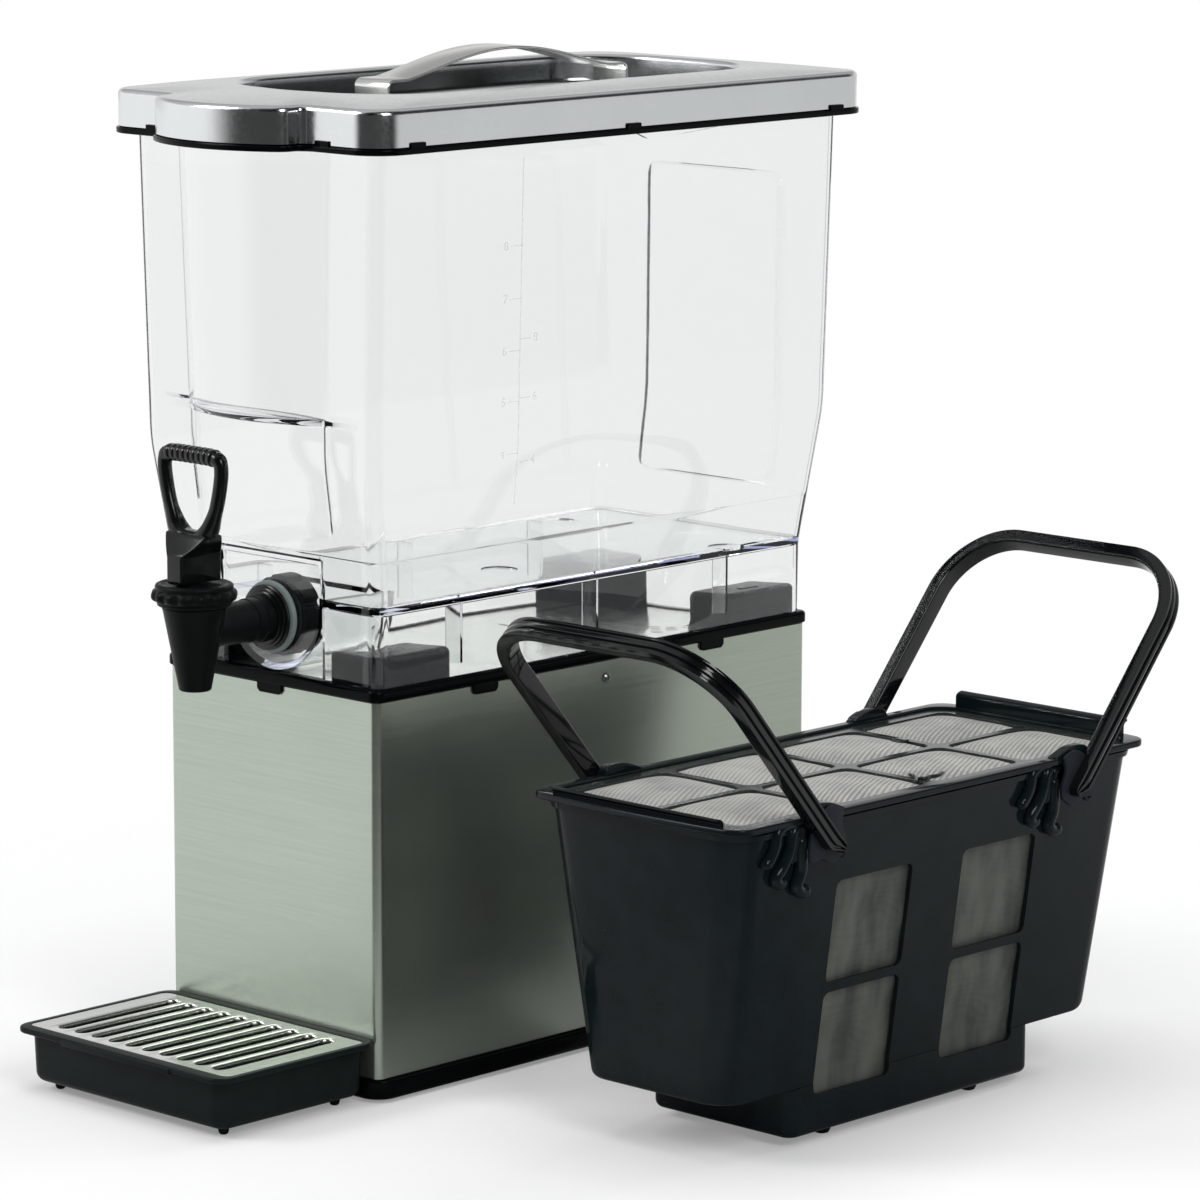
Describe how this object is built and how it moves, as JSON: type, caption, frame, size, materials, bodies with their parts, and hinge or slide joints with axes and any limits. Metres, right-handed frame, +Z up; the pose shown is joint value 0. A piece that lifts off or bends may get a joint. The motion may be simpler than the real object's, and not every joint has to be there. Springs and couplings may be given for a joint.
{
  "type": "cold brew coffee dispenser",
  "caption": "Clear tub with a front tap on a steel base, with a domed steel lid, a drip tray and a lidded filter basket with bail handles.",
  "frame": {"origin": "centre of the base's footprint at the surface that it stands on", "axes": "+Z up, -Y towards the tap and the drip tray, +X to the right of someone who faces the tap"},
  "size_m": [0.4194, 0.4772, 0.5266],
  "materials": {
    "base_steel": "fine horizontal grain",
    "bright_steel": "satin",
    "lid_steel": "satin, softly dimpled",
    "clear_tub": "clear, polished",
    "trim_black": "satin",
    "tray_charcoal": "satin",
    "tap_black": "fine matte",
    "lever_black": "gloss",
    "basket_black": "gloss",
    "silicone": "matte",
    "foot_rubber": "matte",
    "filter_cloth": "fine woven mesh"
  },
  "bodies": {
    "base": {"base_foot": "trim_black", "rubber_foot_front_left": "foot_rubber", "rubber_foot_front_right": "foot_rubber", "rubber_foot_rear_left": "foot_rubber", "rubber_foot_rear_right": "foot_rubber", "base_shell": "base_steel", "base_collar": "trim_black", "base_deck": "bright_steel", "side_screw_left": "bright_steel", "side_screw_right": "bright_steel"},
    "tray": {"drip_tray": "tray_charcoal"},
    "grate": {"drip_grate": "bright_steel"},
    "tub": {"reservoir": "clear_tub", "faucet_washer": "silicone", "faucet_flange": "tap_black", "faucet_inner_washer": "silicone", "faucet_nut": "tap_black", "faucet_body": "tap_black", "faucet_bonnet": "tap_black"},
    "stem": {"faucet_stem": "bright_steel", "seat_cup": "silicone"},
    "lever": {"faucet_lever": "lever_black", "lever_pin": "bright_steel"},
    "lid": {"lid_pan": "lid_steel", "lid_liner": "trim_black", "lid_handle": "bright_steel"},
    "basket": {"basket_shell": "basket_black", "basket_mesh_left": "filter_cloth", "basket_mesh_right": "filter_cloth"},
    "basket_cover": {"basket_lid": "basket_black", "basket_lid_mesh": "filter_cloth"},
    "bail_front": {"front_bail": "basket_black"},
    "bail_rear": {"rear_bail": "basket_black"}
  },
  "joints": [
    {"name": "tray_pull", "type": "slide", "parent": "base", "child": "tray", "axis": [0, -1, 0], "range_m": [0, 0.12]},
    {"name": "grate_lift", "type": "slide", "parent": "tray", "child": "grate", "axis": [0, 0, 1], "range_m": [0, 0.06]},
    {"name": "tub_lift", "type": "slide", "parent": "base", "child": "tub", "axis": [0, 0, 1], "range_m": [0, 0.1]},
    {"name": "stem_lift", "type": "slide", "parent": "tub", "child": "stem", "axis": [0, 0, 1], "range_m": [0, 0.0052]},
    {"name": "lever_pull", "type": "hinge", "parent": "stem", "child": "lever", "pos_m": [0, -0.215, 0.2795], "axis": [1, 0, 0], "range_deg": [0, 33], "stiffness_Nm_per_rad": 0.12, "springref_deg": -17.19},
    {"name": "lid_lift", "type": "slide", "parent": "tub", "child": "lid", "axis": [0, 0, 1], "range_m": [0, 0.12]},
    {"name": "basket_lift", "type": "slide", "parent": "base", "child": "basket", "axis": [0, 0, 1], "range_m": [0, 0.12]},
    {"name": "basket_lid_lift", "type": "slide", "parent": "basket", "child": "basket_cover", "axis": [0, 0, 1], "range_m": [0, 0.06]},
    {"name": "front_bail_swing", "type": "hinge", "parent": "basket", "child": "bail_front", "pos_m": [0.2386, -0.0846, 0.1615], "axis": [-1, 0, 0], "range_deg": [0, 82]},
    {"name": "rear_bail_swing", "type": "hinge", "parent": "basket", "child": "bail_rear", "pos_m": [0.2386, 0.1094, 0.1615], "axis": [1, 0, 0], "range_deg": [0, 82]}
  ],
  "couplings": [
    {"joint": "stem_lift", "follows": "lever_pull", "m_per_rad": 0.009}
  ]
}
